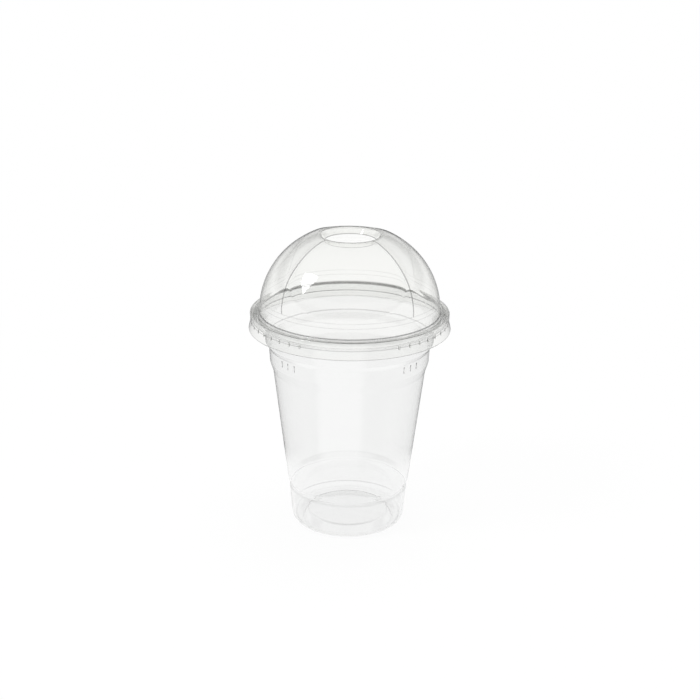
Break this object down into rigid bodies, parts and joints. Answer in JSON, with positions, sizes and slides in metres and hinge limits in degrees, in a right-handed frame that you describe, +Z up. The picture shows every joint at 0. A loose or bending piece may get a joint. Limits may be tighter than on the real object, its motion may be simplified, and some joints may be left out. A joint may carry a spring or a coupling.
{
  "type": "clear disposable cup with domed lid",
  "caption": "Tapered clear plastic cold-drink cup with a rolled rim and a clear domed push-on lid that has a round hole in its top.",
  "frame": {"origin": "centre of the cup's foot, on the surface that it stands on", "axes": "+Z up along the cup's axis, -Y towards the front"},
  "size_m": [0.0979, 0.0978, 0.1477],
  "materials": {
    "cup_clear": "clear, glossy",
    "lid_clear": "clear, glossy"
  },
  "bodies": {
    "cup": {"cup": "cup_clear"},
    "lid": {"dome_lid": "lid_clear"}
  },
  "joints": [
    {"name": "lid_lift", "type": "slide", "parent": "cup", "child": "lid", "axis": [0, 0, 1], "range_m": [0, 0.05]}
  ]
}
